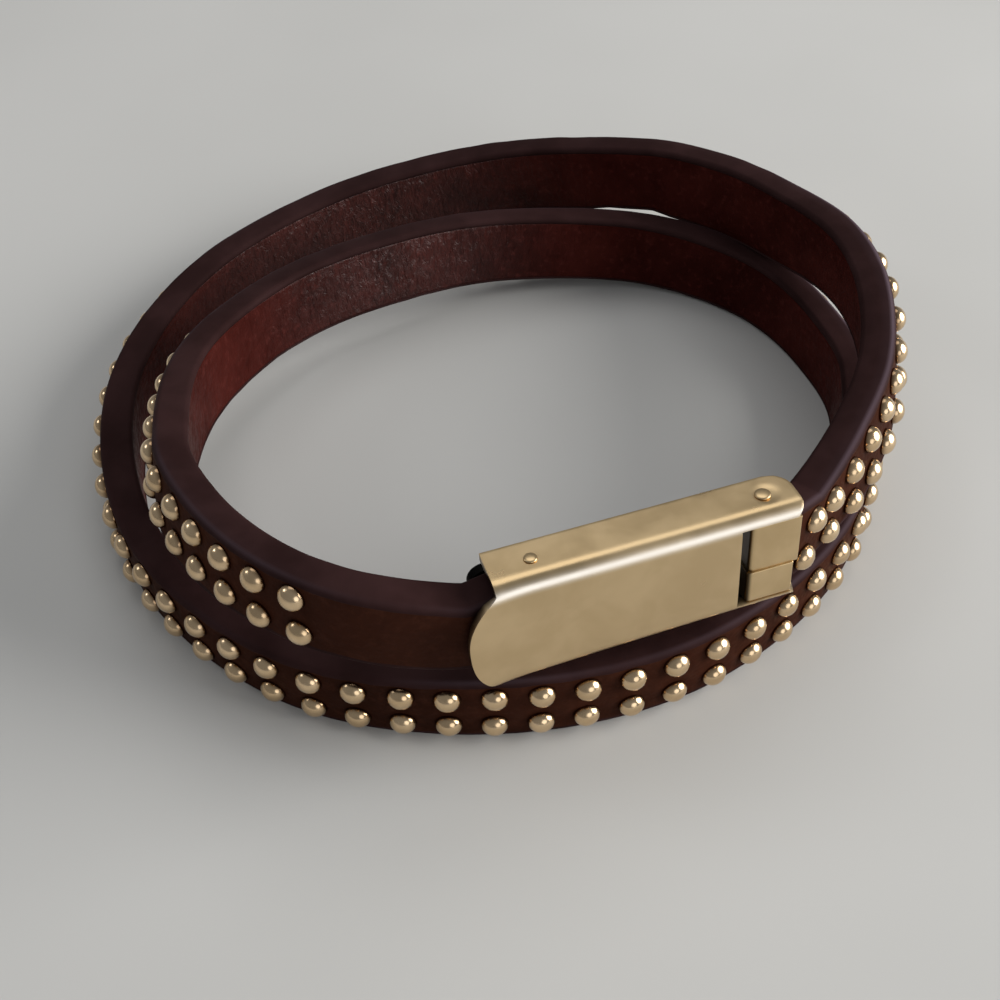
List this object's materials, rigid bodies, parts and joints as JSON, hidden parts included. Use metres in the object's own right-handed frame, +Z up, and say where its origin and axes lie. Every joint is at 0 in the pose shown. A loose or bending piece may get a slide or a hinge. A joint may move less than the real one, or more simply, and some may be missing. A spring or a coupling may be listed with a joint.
{
  "type": "leather wrap bracelet",
  "caption": "Studded leather strap wound twice round the wrist, closed by a folded metal clasp whose lever swings out on a hinge pin.",
  "frame": {"origin": "middle of the bracelet's outline seen from above, on the surface that it lies on", "axes": "+Z up across the strap; +X to the hinge side, along the longest extent; the clasp lies at -Y"},
  "size_m": [0.0726, 0.0706, 0.0193],
  "materials": {
    "strap_leather": "semi-matt burgundy brown leather with painted dark edges",
    "lining_leather": "creased reddish brown lining leather",
    "stud_metal": "polished pale gold domes",
    "clasp_metal": "satin pale gold with polished folds",
    "dark_metal": "blackened metal"
  },
  "bodies": {
    "bracelet": {"strap_band": "strap_leather", "strap_lining": "lining_leather", "studs_outer_turn": "stud_metal", "studs_inner_turn": "stud_metal", "hinge_pin": "clasp_metal", "hinge_cap": "clasp_metal", "catch_plate": "dark_metal"},
    "lever": {"clasp_lever": "clasp_metal", "catch_pin": "clasp_metal"}
  },
  "joints": [
    {"name": "lever_swing", "type": "hinge", "parent": "bracelet", "child": "lever", "pos_m": [0.01988, -0.026, 0.01441], "axis": [-0.0518, 0.1117, 0.9924], "range_deg": [0, 90]}
  ]
}
